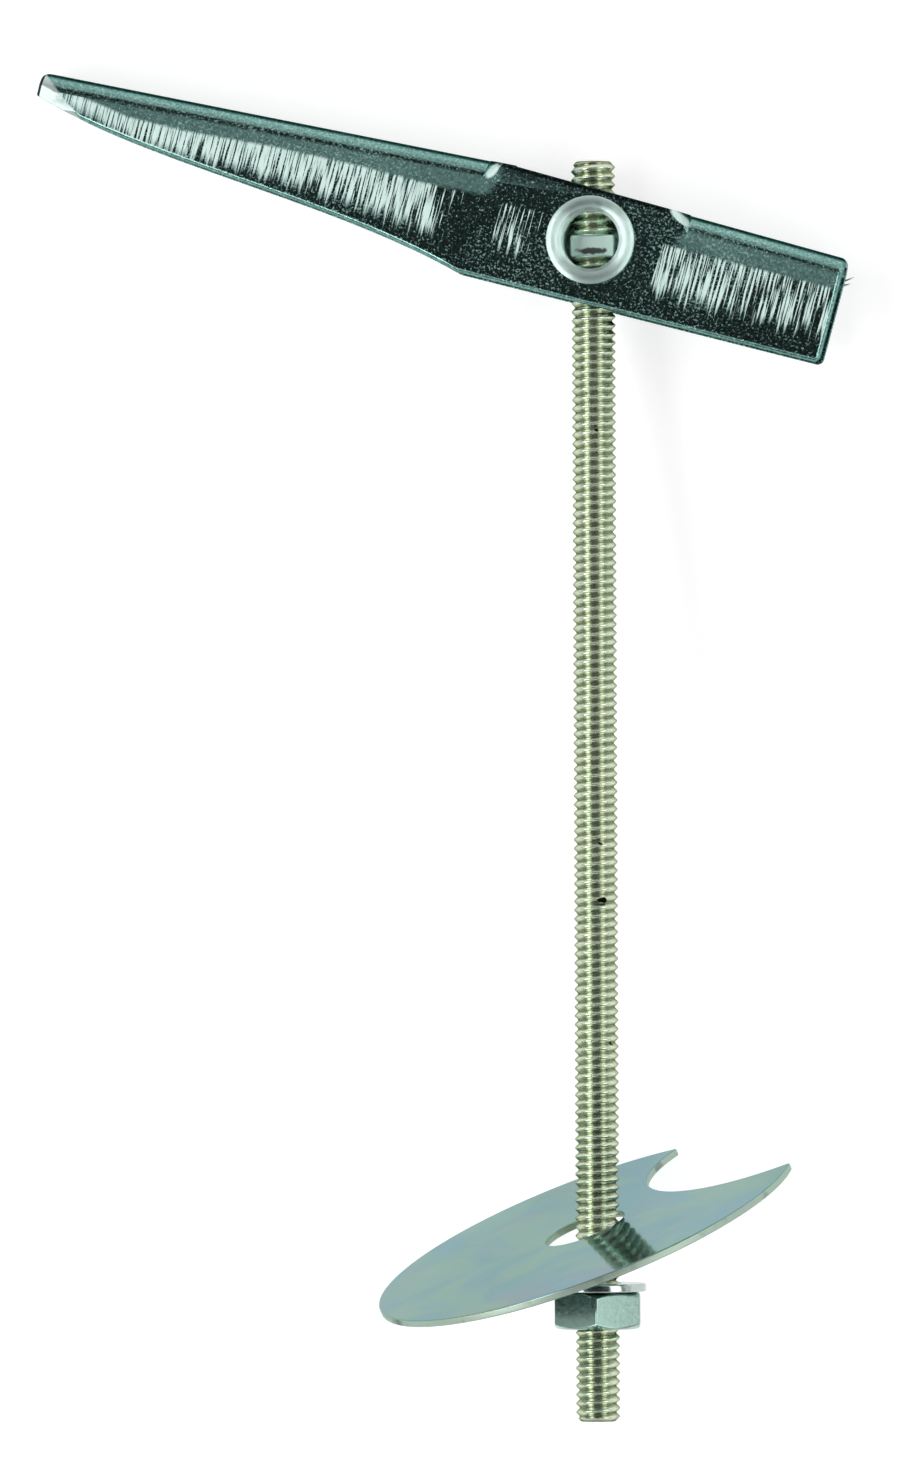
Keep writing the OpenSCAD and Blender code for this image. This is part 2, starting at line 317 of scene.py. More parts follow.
@dataclass(frozen=True)
class RolledThreadZinc(Finish):
    """Zinc plate with a warm passivate on a rolled thread: bright flanks, painted shade in the roots, a few
    specks.
    """

    grazing_tone: str = "#8b9579"
    root_r_mm: float = 2.66
    crest_r_mm: float = 2.9
    # Painted shade in the thread's roots.
    root_shade_tone: str = "#8d947c"
    speck_tone: str = "#17170f"
    speck_mm: float = 2.6
    speck_level: tuple[float, float] = (0.735, 0.765)
    speck_rough: float = 0.7
    stake_tone: str = "#dcf0ea"
    stake_mid_mm: float = -0.65
    stake_half_mm: float = 1.65
    stake_rough: float = 0.6
    # Painted shadow along the foot of the squashed block's face: its tone, height, half size, raggedness, edge and
    # strength.
    painted_shadow_tone: str = "#2b2a24"
    shadow_z_mm: float = -1.4
    shadow_half_mm: tuple[float, float] = (2.3, 0.5)
    shadow_noise_mm: float = 0.7
    shadow_edge: tuple[float, float] = (1.6, 1.2)
    shadow_most: float = 0.9

    def mark(self, coat: Coat) -> None:
        """Marks the thread, with painted shade in its roots, and the block that was squashed flat inside the
        rivet, with a painted shadow along its foot.

        Args:
            coat: the finish under way.
        """
        coat.shader.inputs["Specular Tint"].default_value = linear(self.grazing_tone)
        self.paint_root_shade(coat)
        self.add_specks(coat)
        self.whiten_stake(coat)
        self.add_painted_shadow(coat)

    def paint_root_shade(self, coat: Coat) -> None:
        """Paints shade into the roots, darker from the crests down to the roots.

        Args:
            coat: the finish under way.
        """
        across = add_node(coat.tree, "VectorMath", {0: coat.space, 1: (1.0, 1.0, 0.0)}, operation="MULTIPLY")
        radius = add_node(coat.tree, "VectorMath", {0: across.outputs[0]}, operation="LENGTH")
        root = add_node(
            coat.tree,
            "MapRange",
            {"Value": radius.outputs["Value"], "From Min": self.crest_r_mm, "From Max": self.root_r_mm},
        )
        coat.tint(root.outputs[0], self.root_shade_tone)

    def add_specks(self, coat: Coat) -> None:
        """Scatters a few specks of dirt.

        Args:
            coat: the finish under way.
        """
        blot = add_node(
            coat.tree, "TexNoise", {"Vector": coat.space, "Scale": 1 / self.speck_mm, "Detail": 1.0}
        )
        speck = add_node(
            coat.tree,
            "MapRange",
            {"Value": blot.outputs[0], "From Min": self.speck_level[0], "From Max": self.speck_level[1]},
        )
        coat.tint(speck.outputs[0], self.speck_tone)
        coat.dull(speck.outputs[0], self.speck_rough)

    def whiten_stake(self, coat: Coat) -> None:
        """Whitens the squashed block, whose plating the press left matt.

        Args:
            coat: the finish under way.
        """
        split = add_node(coat.tree, "SeparateXYZ", {0: coat.space})
        stake = add_node(
            coat.tree,
            "Math",
            {0: split.outputs["Z"], 1: self.stake_mid_mm, 2: self.stake_half_mm},
            operation="COMPARE",
        )
        coat.tint(stake.outputs[0], self.stake_tone)
        coat.dull(stake.outputs[0], self.stake_rough)

    def add_painted_shadow(self, coat: Coat) -> None:
        """Paints a ragged streak of shadow along the foot of the block's face.

        Args:
            coat: the finish under way.
        """
        tree = coat.tree
        wide, tall = self.shadow_half_mm
        centred = add_node(
            tree, "VectorMath", {0: coat.space, 1: (0.0, 0.0, self.shadow_z_mm)}, operation="SUBTRACT"
        )
        fitted = add_node(
            tree, "VectorMath", {0: centred.outputs[0], 1: (1 / wide, 0.0, 1 / tall)}, operation="MULTIPLY"
        )
        out = add_node(tree, "VectorMath", {0: fitted.outputs[0]}, operation="LENGTH")
        uneven = add_node(tree, "TexNoise", {"Vector": coat.space, "Scale": 1 / self.shadow_noise_mm, "Detail": 2.0})
        ragged = add_node(tree, "Math", {0: out.outputs["Value"], 1: uneven.outputs[0]}, operation="ADD")
        shadow = add_node(
            tree,
            "MapRange",
            {
                "Value": ragged.outputs[0],
                "From Min": self.shadow_edge[0],
                "From Max": self.shadow_edge[1],
                "To Max": self.shadow_most,
            },
        )
        coat.tint(shadow.outputs[0], self.painted_shadow_tone)


@dataclass(frozen=True)
class PressedWingZinc(Finish):
    """Bright zinc over pressed sheet: a dark orange peel, with white scuffs drawn across the walls, painted
    highlights on the shoulders and the tip, and painted shade along the bends.
    """

    grazing_tone: str = "#7f9391"
    peel_tone: str = "#a8d2c9"
    peel_mm: float = 0.36
    peel_level: tuple[float, float] = (0.63, 0.79)
    peel_most: float = 0.9
    peel_rough: float = 0.5
    patch_mm: float = 14.0
    patch_share: float = 0.22
    # The backs of the long and the short arm: a point of each, in X and Z, and its slope.
    backs_mm: tuple[tuple[float, float, float], ...] = ((-15.7, 7.6, 0.0594), (-15.7, 7.6, -0.0148))
    # Painted shade, standing for a dark reflection, along the crown of each bend and on the tip's end.
    painted_dark_tone: str = "#2a3534"
    ridge_deep_mm: float = 0.75
    ridge_fade: float = 0.6
    ridge_shade_most: float = 0.85
    ridge_y_mm: float = 1.6
    bow_mm: float = 0.32
    bow_from_mm: float = 5.6
    bow_to_mm: float = 2.2
    cheek_mid_mm: float = -2.0
    cheek_half_mm: tuple[float, float] = (12.5, 15.5)
    # Painted highlight on the tip's lower corner: its tone, the slanted line that bounds it, and its roughness.
    tip_highlight_tone: str = "#cad8d4"
    tip_highlight_slope: float = 0.746
    tip_highlight_level_mm: float = -58.65
    tip_highlight_soft_mm: float = 0.15
    tip_highlight_rough: float = 0.5
    end_x_mm: float = -83.0
    # Each painted highlight's middle in X and Z, its half length, and its lean in degrees.
    shoulder_highlights_mm: tuple[tuple[float, float, float, float], ...] = (
        (11.7, 6.35, 1.9, 27.0),
        (-16.3, 6.0, 1.3, -62.0),
    )
    highlight_half_mm: float = 0.6
    highlight_through_mm: float = 1000.0
    highlight_y_mm: float = 3.65
    highlight_torn: float = 0.5
    highlight_edge: tuple[float, float] = (1.35, 1.0)
    # The scuffs' tone, roughness and metal, which the painted shoulder highlights share.
    scuff_and_highlight_tone: str = "#dcf4ee"
    scuff_and_highlight_rough: float = 0.6
    scuff_and_highlight_metal: float = 0.2
    wall_y_mm: float = 4.95
    span_mm: tuple[float, float] = (-84.0, 37.0)
    # The press's scratches are under a tenth of a millimetre wide, too fine to show, so each lane that is
    # drawn stands for several.
    lane_mm: float = 0.34
    lane_run_mm: float = 9.0
    lane_edge: tuple[float, float] = (-0.04, 0.12)
    lanes_per_end: float = 2.5
    end_noise: tuple[float, float] = (0.28, 0.72)
    end_share: tuple[float, float] = (0.42, 1.05)
    fade_in_mm: tuple[float, float] = (-0.15, 0.35)
    fade_out_mm: tuple[float, float] = (-0.5, 1.2)
    start_z_mm: tuple[float, float] = (-5.0, 5.0)
    reach_mm: float = 10.0
    # Along the wing, from the tip at 0 to the short arm's end at 1: where scuffs start, how far they reach
    # and how much of the wall they cover.
    starts: Points = (
        (0.0, 0.70), (0.04, 0.69), (0.12, 0.535), (0.19, 0.55), (0.3, 0.655), (0.4, 0.7), (1.0, 0.72),
    )
    reaches: Points = (
        (0.0, 0.25), (0.1, 0.4), (0.3, 0.62), (0.5, 0.95), (0.62, 0.9), (0.78, 0.95), (1.0, 0.98),
    )
    covers: Points = (
        (0.0, 0.55), (0.05, 0.62), (0.3, 0.62), (0.42, 0.6), (0.495, 0.58), (0.505, 0.34),
        (0.53, 0.3), (0.54, 0.12), (0.575, 0.1), (0.585, 0.42), (0.62, 0.38), (0.64, 0.0),
        (0.77, 0.0), (0.785, 0.58), (0.83, 0.5), (0.9, 0.5), (0.985, 0.48), (1.0, 0.2),
    )

    def mark(self, coat: Coat) -> None:
        """Lays the wing's marks, from the peel, which is everywhere, to the scuffs and the painted shoulder
        highlights, which are torn on top; between them come painted shade along the bends and painted light at the
        tip.

        Args:
            coat: the finish under way.
        """
        coat.shader.inputs["Specular Tint"].default_value = linear(self.grazing_tone)
        pimples = self.add_peel(coat)
        depth = self.depth(coat)
        self.paint_ridge_shade(coat, depth)
        self.bow_walls(coat, depth)
        self.paint_tip_light(coat)
        # The scuffs, with the painted shoulder highlights laid in with them.
        torn = self.paint_shoulder_highlights(coat, pimples, self.scuffs(coat))
        coat.tint(torn, self.scuff_and_highlight_tone)
        coat.dull(torn, self.scuff_and_highlight_rough)
        metal = add_node(coat.tree, "MapRange", {"Value": torn, "To Min": 1.0, "To Max": self.scuff_and_highlight_metal})
        coat.tree.links.new(metal.outputs[0], coat.shader.inputs["Metallic"])

    def add_peel(self, coat: Coat) -> Socket:
        """Scatters the dull pimples of the orange peel, thicker in some patches.

        Args:
            coat: the finish under way.

        Returns:
            The socket of the pimples' noise.
        """
        tree, space = coat.tree, coat.space
        pimple = add_node(
            tree, "TexNoise", {"Vector": space, "Scale": 1 / self.peel_mm, "Detail": 2.5, "Roughness": 0.6}
        )
        patch = add_node(tree, "TexNoise", {"Vector": space, "Scale": 1 / self.patch_mm, "Detail": 1.0})
        uneven = add_node(
            tree,
            "Math",
            {0: patch.outputs[0], 1: self.patch_share, 2: pimple.outputs[0]},
            operation="MULTIPLY_ADD",
        )
        low, high = self.peel_level
        peel = add_node(
            tree,
            "MapRange",
            {"Value": uneven.outputs[0], "From Min": low, "From Max": high, "To Max": self.peel_most},
        )
        coat.tint(peel.outputs[0], self.peel_tone)
        coat.dull(peel.outputs[0], self.peel_rough)
        return pimple.outputs[0]

    def depth(self, coat: Coat) -> Socket:
        """Measures how far a point lies below the arms' backs.

        Args:
            coat: the finish under way.

        Returns:
            The socket of that depth, in millimetres.
        """
        tree = coat.tree
        split = add_node(tree, "SeparateXYZ", {0: coat.space})
        below: list[Socket] = []
        for x, z, slope in self.backs_mm:
            off = add_node(tree, "Math", {0: split.outputs["X"], 1: x}, operation="SUBTRACT")
            back = add_node(tree, "Math", {0: off.outputs[0], 1: slope, 2: z}, operation="MULTIPLY_ADD")
            under = add_node(tree, "Math", {0: back.outputs[0], 1: split.outputs["Z"]}, operation="SUBTRACT")
            below.append(under.outputs[0])
        return add_node(tree, "Math", {0: below[0], 1: below[1]}, operation="MINIMUM").outputs[0]

    def paint_ridge_shade(self, coat: Coat, depth: Socket) -> None:
        """Paints shade along the crown of each bend, standing for a dark reflection, darker towards the back.

        Args:
            coat: the finish under way.
            depth: how far a point lies below the back.
        """
        tree = coat.tree
        split = add_node(tree, "SeparateXYZ", {0: coat.space})
        high = add_node(
            tree,
            "MapRange",
            {
                "Value": depth,
                "From Min": self.ridge_deep_mm,
                "From Max": self.ridge_fade * self.ridge_deep_mm,
                "To Max": self.ridge_shade_most,
            },
        )
        across = add_node(tree, "Math", {0: split.outputs["Y"]}, operation="ABSOLUTE")
        beside = add_node(tree, "Math", {0: across.outputs[0], 1: self.ridge_y_mm}, operation="GREATER_THAN")
        ridge = add_node(tree, "Math", {0: high.outputs[0], 1: beside.outputs[0]}, operation="MULTIPLY")
        # Painted shade along the bend's crown.
        coat.tint(ridge.outputs[0], self.painted_dark_tone)

    def bow_walls(self, coat: Coat, depth: Socket) -> None:
        """Bows the walls slightly below each bend, away from the flat cheeks.

        Args:
            coat: the finish under way.
            depth: how far a point lies below the back.
        """
        tree = coat.tree
        split = add_node(tree, "SeparateXYZ", {0: coat.space})
        bowed = add_node(
            tree,
            "MapRange",
            {"Value": depth, "From Min": self.bow_from_mm, "From Max": self.bow_to_mm},
            interpolation_type="SMOOTHSTEP",
        )
        apart = add_node(tree, "Math", {0: split.outputs["X"], 1: self.cheek_mid_mm}, operation="SUBTRACT")
        away = add_node(tree, "Math", {0: apart.outputs[0]}, operation="ABSOLUTE")
        folded = add_node(
            tree,
            "MapRange",
            {"Value": away.outputs[0], "From Min": self.cheek_half_mm[0], "From Max": self.cheek_half_mm[1]},
            interpolation_type="SMOOTHSTEP",
        )
        bow = add_node(tree, "Math", {0: bowed.outputs[0], 1: folded.outputs[0]}, operation="MULTIPLY")
        bump = add_node(
            tree,
            "Bump",
            {
                "Height": bow.outputs[0],
                "Distance": self.bow_mm * MM,
                "Strength": 1.0,
                "Normal": coat.shader.inputs["Normal"].links[0].from_socket,
            },
            invert=True,
        )
        tree.links.new(bump.outputs[0], coat.shader.inputs["Normal"])

    def paint_tip_light(self, coat: Coat) -> None:
        """Paints a highlight, rougher too, on the tip's corner below a slanted line, and paints shade on the tip's
        end.

        Args:
            coat: the finish under way.
        """
        tree = coat.tree
        split = add_node(tree, "SeparateXYZ", {0: coat.space})
        over = add_node(
            tree,
            "Math",
            {0: split.outputs["X"], 1: self.tip_highlight_slope, 2: split.outputs["Z"]},
            operation="MULTIPLY_ADD",
        )
        tip_highlight = add_node(
            tree,
            "MapRange",
            {
                "Value": over.outputs[0],
                "From Min": self.tip_highlight_level_mm + self.tip_highlight_soft_mm,
                "From Max": self.tip_highlight_level_mm - self.tip_highlight_soft_mm,
            },
        )
        coat.tint(tip_highlight.outputs[0], self.tip_highlight_tone)
        coat.dull(tip_highlight.outputs[0], self.tip_highlight_rough)
        # Painted shade on the tip's end.
        end = add_node(tree, "Math", {0: split.outputs["X"], 1: self.end_x_mm}, operation="LESS_THAN")
        coat.tint(end.outputs[0], self.painted_dark_tone)

    def scuffs(self, coat: Coat) -> Socket:
        """Draws the scuffs: lanes across the wall that start in a line and end raggedly.

        Args:
            coat: the finish under way.

        Returns:
            The socket of the mask, from 0 to 1.
        """
        tree, space = coat.tree, coat.space
        split = add_node(tree, "SeparateXYZ", {0: space})
        along = add_node(
            tree,
            "MapRange",
            {"Value": split.outputs["X"], "From Min": self.span_mm[0], "From Max": self.span_mm[1]},
        )
        profiles: list[Socket] = []
        for points in (self.starts, self.covers, self.reaches):
            profile = add_node(tree, "FloatCurve", {"Value": along.outputs[0]})
            corners = profile.mapping.curves[0].points
            for corner, place in zip(corners, points):
                corner.location = place
            for place in points[2:]:
                corners.new(*place)
            for corner in corners:
                corner.handle_type = "VECTOR"
            profile.mapping.update()
            profiles.append(profile.outputs[0])
        start_at, cover, reach_at = profiles
        start = add_node(
            tree, "MapRange", {"Value": start_at, "To Min": self.start_z_mm[0], "To Max": self.start_z_mm[1]}
        )
        depth = add_node(tree, "Math", {0: start.outputs[0], 1: split.outputs["Z"]}, operation="SUBTRACT")
        lane = add_node(
            tree,
            "VectorMath",
            {0: space, 1: (1 / self.lane_mm, 0.0, 1 / self.lane_run_mm)},
            operation="MULTIPLY",
        )
        lanes = add_node(
            tree, "TexNoise", {"Vector": lane.outputs[0], "Scale": 1.0, "Detail": 2.0, "Roughness": 0.6}
        )
        level = add_node(
            tree, "MapRange", {"Value": lanes.outputs[0], "From Min": NOISE_LOW, "From Max": NOISE_HIGH}
        )
        bare = add_node(tree, "Math", {0: 1.0, 1: cover}, operation="SUBTRACT")
        over = add_node(tree, "Math", {0: level.outputs[0], 1: bare.outputs[0]}, operation="SUBTRACT")
        drawn = add_node(
            tree,
            "MapRange",
            {"Value": over.outputs[0], "From Min": self.lane_edge[0], "From Max": self.lane_edge[1]},
        )
        ends = add_node(
            tree,
            "VectorMath",
            {0: space, 1: (1 / (self.lanes_per_end * self.lane_mm), 0.0, 0.0)},
            operation="MULTIPLY",
        )
        ragged = add_node(
            tree, "TexNoise", {"Vector": ends.outputs[0], "Scale": 1.0, "Detail": 3.0, "Roughness": 0.7}
        )
        share = add_node(
            tree,
            "MapRange",
            {
                "Value": ragged.outputs[0],
                "From Min": self.end_noise[0],
                "From Max": self.end_noise[1],
                "To Min": self.end_share[0],
                "To Max": self.end_share[1],
            },
        )
        reach = add_node(tree, "Math", {0: reach_at, 1: share.outputs[0]}, operation="MULTIPLY")
        reach = add_node(tree, "Math", {0: reach.outputs[0], 1: self.reach_mm}, operation="MULTIPLY")
        left = add_node(tree, "Math", {0: reach.outputs[0], 1: depth.outputs[0]}, operation="SUBTRACT")
        ended = add_node(
            tree,
            "MapRange",
            {"Value": left.outputs[0], "From Min": self.fade_out_mm[0], "From Max": self.fade_out_mm[1]},
        )
        begun = add_node(
            tree,
            "MapRange",
            {"Value": depth.outputs[0], "From Min": self.fade_in_mm[0], "From Max": self.fade_in_mm[1]},
        )
        side = add_node(tree, "Math", {0: split.outputs["Y"]}, operation="ABSOLUTE")
        wall = add_node(tree, "Math", {0: side.outputs[0], 1: self.wall_y_mm}, operation="GREATER_THAN")
        mask = drawn.outputs[0]
        for part in (ended, begun, wall):
            mask = add_node(tree, "Math", {0: mask, 1: part.outputs[0]}, operation="MULTIPLY").outputs[0]
        return mask

    def paint_shoulder_highlights(self, coat: Coat, pimples: Socket, mask: Socket) -> Socket:
        """Adds the painted white highlights on the shoulders beside the slot to the scuffs.

        Args:
            coat: the finish under way.
            pimples: the noise of the peel, which tears the highlights' edges.
            mask: the scuffs, from 0 to 1.

        Returns:
            The socket of the mask with the painted highlights.
        """
        tree = coat.tree
        split = add_node(tree, "SeparateXYZ", {0: coat.space})
        across = add_node(tree, "Math", {0: split.outputs["Y"]}, operation="ABSOLUTE")
        outer = add_node(tree, "Math", {0: across.outputs[0], 1: self.highlight_y_mm}, operation="GREATER_THAN")
        for x, z, half, lean_deg in self.shoulder_highlights_mm:
            fitted = add_node(
                tree,
                "Mapping",
                {
                    "Vector": coat.space,
                    "Location": (x, 0.0, z),
                    "Rotation": (0.0, math.radians(lean_deg), 0.0),
                    "Scale": (half, self.highlight_through_mm, self.highlight_half_mm),
                },
                vector_type="TEXTURE",
            )
            out = add_node(tree, "VectorMath", {0: fitted.outputs[0]}, operation="LENGTH")
            torn = add_node(
                tree,
                "Math",
                {0: pimples, 1: self.highlight_torn, 2: out.outputs["Value"]},
                operation="MULTIPLY_ADD",
            )
            highlight = add_node(
                tree,
                "MapRange",
                {"Value": torn.outputs[0], "From Min": self.highlight_edge[0], "From Max": self.highlight_edge[1]},
            )
            # Painted highlight on this shoulder, kept to the outer wall.
            kept = add_node(tree, "Math", {0: highlight.outputs[0], 1: outer.outputs[0]}, operation="MULTIPLY")
            mask = add_node(tree, "Math", {0: mask, 1: kept.outputs[0]}, operation="MAXIMUM").outputs[0]
        return mask


@dataclass(frozen=True)
class TurnedRivetZinc(Finish):
    """Zinc over a flange that a spinning tool rolled: fine rings that spread light outwards and inwards."""

    # The tool's rings are too fine to draw, so the shine is spread across them instead.
    brushed: float = 0.9

    def mark(self, coat: Coat) -> None:
        """Spreads the shine across the rings that the tool left about the rivet's axis.

        Args:
            coat: the finish under way.
        """
        coords = add_node(coat.tree, "TexCoord")
        outward = add_node(
            coat.tree, "VectorMath", {0: coords.outputs["Object"], 1: self.axes.origin}, operation="SUBTRACT"
        )
        coat.shader.inputs["Anisotropic"].default_value = self.brushed
        coat.tree.links.new(outward.outputs[0], coat.shader.inputs["Tangent"])


@dataclass(frozen=True)
class PassivatedPlateZinc(Finish):
    """Rolled sheet in blue passivated zinc: a clear mirror with faint clouds of rainbow tint."""

    # Each cloud's tone, its width in millimetres and the level at which it shows.
    clouds: tuple[tuple[str, float, float], ...] = (
        ("#8f8f98", 17.0, 0.56),
        ("#8ba488", 13.0, 0.55),
        ("#7496a2", 11.0, 0.58),
    )
    cloud_soft: tuple[float, float] = (0.12, 0.14)
    cloud_most: float = 0.75
    cloud_swirl: float = 0.8
    cloud_shift_mm: tuple[float, float] = (31.0, 7.0)
    grazing_tone: str = "#d6e6e8"
    rim_tone: str = "#a9bcad"
    rim_rough: float = 0.5
    rim_z_mm: float = -0.55
    rim_half_mm: float = 0.42
    dirt_tone: str = "#4c5a52"
    dirt_mm: float = 6.0
    dirt_level: tuple[float, float] = (0.56, 0.7)
    dirt_most: float = 0.7

    def mark(self, coat: Coat) -> None:
        """Lays the clouds of tint on the faces, and a dull tone on the sheared rim.

        Args:
            coat: the finish under way.
        """
        coat.shader.inputs["Specular Tint"].default_value = linear(self.grazing_tone)
        self.add_clouds(coat)
        self.dull_rim(coat)

    def add_clouds(self, coat: Coat) -> None:
        """Lays the clouds of tint, each from its own noise.

        Args:
            coat: the finish under way.
        """
        tree = coat.tree
        step, lift = self.cloud_shift_mm
        for number, (tone, size, least) in enumerate(self.clouds):
            shifted = add_node(
                tree, "VectorMath", {0: coat.space, 1: (step * number, 0.0, lift)}, operation="ADD"
            )
            cloud = add_node(
                tree,
                "TexNoise",
                {
                    "Vector": shifted.outputs[0],
                    "Scale": 1 / size,
                    "Detail": 2.0,
                    "Distortion": self.cloud_swirl,
                },
            )
            share = add_node(
                tree,
                "MapRange",
                {
                    "Value": cloud.outputs[0],
                    "From Min": least - self.cloud_soft[0],
                    "From Max": least + self.cloud_soft[1],
                    "To Max": self.cloud_most,
                },
                interpolation_type="SMOOTHSTEP",
            )
            coat.tint(share.outputs[0], tone)

    def dull_rim(self, coat: Coat) -> None:
        """Dulls the rim that the shears left, and catches some dirt on it.

        Args:
            coat: the finish under way.
        """
        tree = coat.tree
        split = add_node(tree, "SeparateXYZ", {0: coat.space})
        rim = add_node(
            tree, "Math", {0: split.outputs["Z"], 1: self.rim_z_mm, 2: self.rim_half_mm}, operation="COMPARE"
        )
        coat.tint(rim.outputs[0], self.rim_tone)
        coat.dull(rim.outputs[0], self.rim_rough)
        spots = add_node(tree, "TexNoise", {"Vector": coat.space, "Scale": 1 / self.dirt_mm, "Detail": 3.0})
        low, high = self.dirt_level
        dirt = add_node(
            tree,
            "MapRange",
            {"Value": spots.outputs[0], "From Min": low, "From Max": high, "To Max": self.dirt_most},
        )
        caught = add_node(tree, "Math", {0: dirt.outputs[0], 1: rim.outputs[0]}, operation="MULTIPLY")
        coat.tint(caught.outputs[0], self.dirt_tone)


def welded_copy(node: str) -> BMesh:
    """A CAD node's surface as one skin, with its flat faces made whole.

    Args:
        node: the CAD node's name.

    Returns:
        The skin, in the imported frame.
    """
    bm = bmesh.new()
    bm.from_mesh(frame["nodes"][node].data)
    bmesh.ops.remove_doubles(bm, verts=bm.verts[:], dist=WELD)
    bmesh.ops.dissolve_limit(bm, angle_limit=math.radians(FLAT_DEG), verts=bm.verts[:], edges=bm.edges[:])
    return bm


def ease_edges(
    bm: BMesh, width_mm: float, segments: int, least_deg: float, chosen: Callable[[BMEdge], bool] = bool
) -> None:
    """Rounds the chosen edges that are sharper than an angle.

    Args:
        bm: the skin to round.
        width_mm: how far the round reaches from the edge.
        segments: steps across the round.
        least_deg: the least angle between two faces that counts as an edge.
        chosen: tells whether an edge is one to round; all are, if it isn't given.
    """
    least = math.radians(least_deg)
    sharp = [e for e in bm.edges if len(e.link_faces) == 2 and e.calc_face_angle() > least]
    edges = [e for e in sharp if chosen(e)]
    bmesh.ops.bevel(
        bm,
        geom=edges,
        offset=width_mm * MM,
        offset_type="OFFSET",
        affect="EDGES",
        segments=segments,
        profile=0.5,
        material=-1,
        clamp_overlap=False,
    )


def shown(bm: BMesh, name: str, finish: Finish, sharp_deg: float = 40.0) -> bpy.types.Object:
    """Makes a smooth shaded object from a finished skin.

    Args:
        bm: the skin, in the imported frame; it is freed.
        name: the piece's name.
        finish: its metal finish.
        sharp_deg: edges past this angle stay crisp.

    Returns:
        The object, linked to the scene.
    """
    mesh = bpy.data.meshes.new(name)
    for face in bm.faces:
        face.smooth = True
    bm.to_mesh(mesh)
    bm.free()
    mesh.set_sharp_from_angle(angle=math.radians(sharp_deg))
    mesh.materials.append(finish.material())
    piece = bpy.data.objects.new(name, mesh)
    bpy.context.scene.collection.objects.link(piece)
    flat = piece.modifiers.new("flat_faces", "WEIGHTED_NORMAL")
    flat.keep_sharp = True
    return piece


def carried(piece: bpy.types.Object, body: Body, slot: Slot, *nodes: str) -> None:
    """Sets a piece on its body, in place of its CAD nodes, and reports it.

    Args:
        piece: the finished piece.
        body: the body that carries it.
        slot: the record's material slot; not used.
        nodes: the CAD nodes that it stands for.
    """
    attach(piece, body.value)
    if nodes:
        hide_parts(*nodes)
    LOG.info("%s: %d faces on %s", piece.name, len(piece.data.polygons), body.value)


